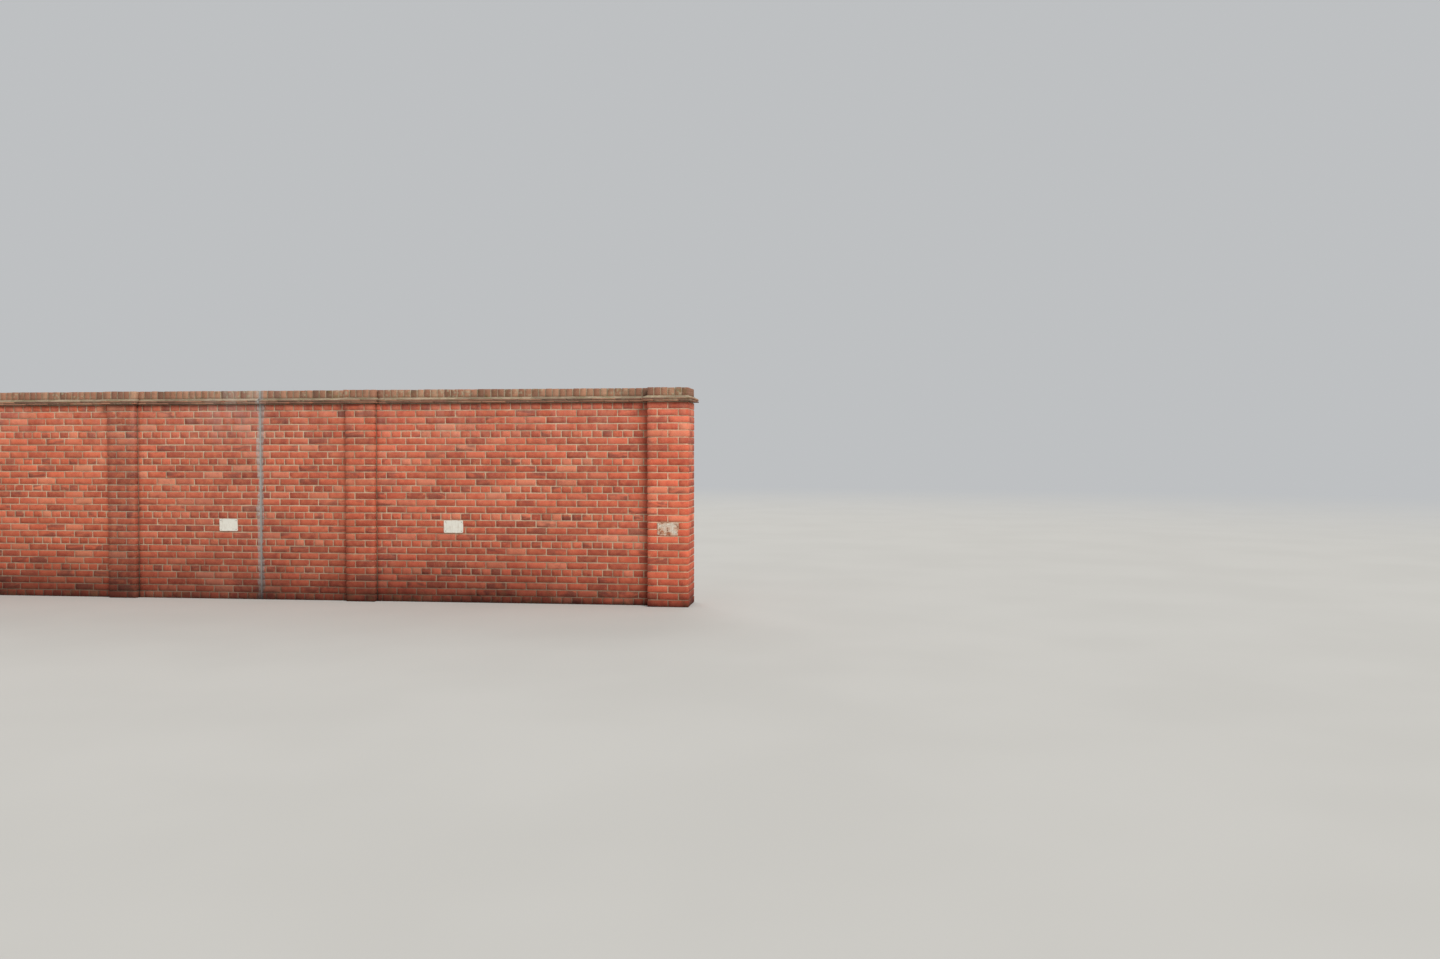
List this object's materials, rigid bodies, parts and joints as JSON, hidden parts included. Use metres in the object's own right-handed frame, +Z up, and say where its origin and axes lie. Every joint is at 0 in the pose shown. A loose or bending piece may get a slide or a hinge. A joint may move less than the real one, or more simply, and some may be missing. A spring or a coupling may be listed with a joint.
{
  "type": "brick garden wall",
  "caption": "Free-standing brick garden wall in bays between attached piers, with heavier end piers, tile creasing and a brick-on-edge coping.",
  "frame": {"origin": "on the ground at the middle of the wall's length and thickness", "axes": "+X along the wall towards the right-hand end pier as seen from the front, +Y through the wall from the front to the back, +Z up"},
  "size_m": [12.455, 0.53, 2.3275],
  "materials": {
    "wall_brick": "weathered orange-red facing brick with buff lime-cement joints, soiled towards the ground",
    "pier_brick": "weathered orange-red facing brick, a little darker than the panels, with buff joints",
    "end_pier_brick": "cleaner, brighter orange-red facing brick with buff joints",
    "creasing_tile": "plain clay tiles bedded in mortar, stained and lichened",
    "coping_brick": "brick on edge, brown and khaki with lichen, moss and soot",
    "joint_sealant": "pale grey sealant, dusty and chalked",
    "plate_enamel": "off-white stove enamel, weathered, with four dome-headed screws"
  },
  "bodies": {
    "root": {"panel_1": "wall_brick", "panel_2": "wall_brick", "panel_3_left": "wall_brick", "panel_3_right": "wall_brick", "panel_4": "wall_brick", "pier_a": "pier_brick", "pier_b": "pier_brick", "pier_c": "pier_brick", "end_pier_left": "end_pier_brick", "end_pier_right": "end_pier_brick", "creasing_panel_1": "creasing_tile", "creasing_panel_2": "creasing_tile", "creasing_panel_3_left": "creasing_tile", "creasing_panel_3_right": "creasing_tile", "creasing_panel_4": "creasing_tile", "creasing_end_left": "creasing_tile", "creasing_pier_a": "creasing_tile", "creasing_pier_b": "creasing_tile", "creasing_pier_c": "creasing_tile", "creasing_end_right": "creasing_tile", "coping_panel_1": "coping_brick", "coping_panel_2": "coping_brick", "coping_panel_3_left": "coping_brick", "coping_panel_3_right": "coping_brick", "coping_panel_4": "coping_brick", "coping_end_left": "coping_brick", "coping_pier_a": "coping_brick", "coping_pier_b": "coping_brick", "coping_pier_c": "coping_brick", "coping_end_right": "coping_brick", "movement_joint": "joint_sealant", "marker_plate_left": "plate_enamel", "marker_plate_middle": "plate_enamel", "marker_plate_right": "plate_enamel"}
  },
  "joints": []
}
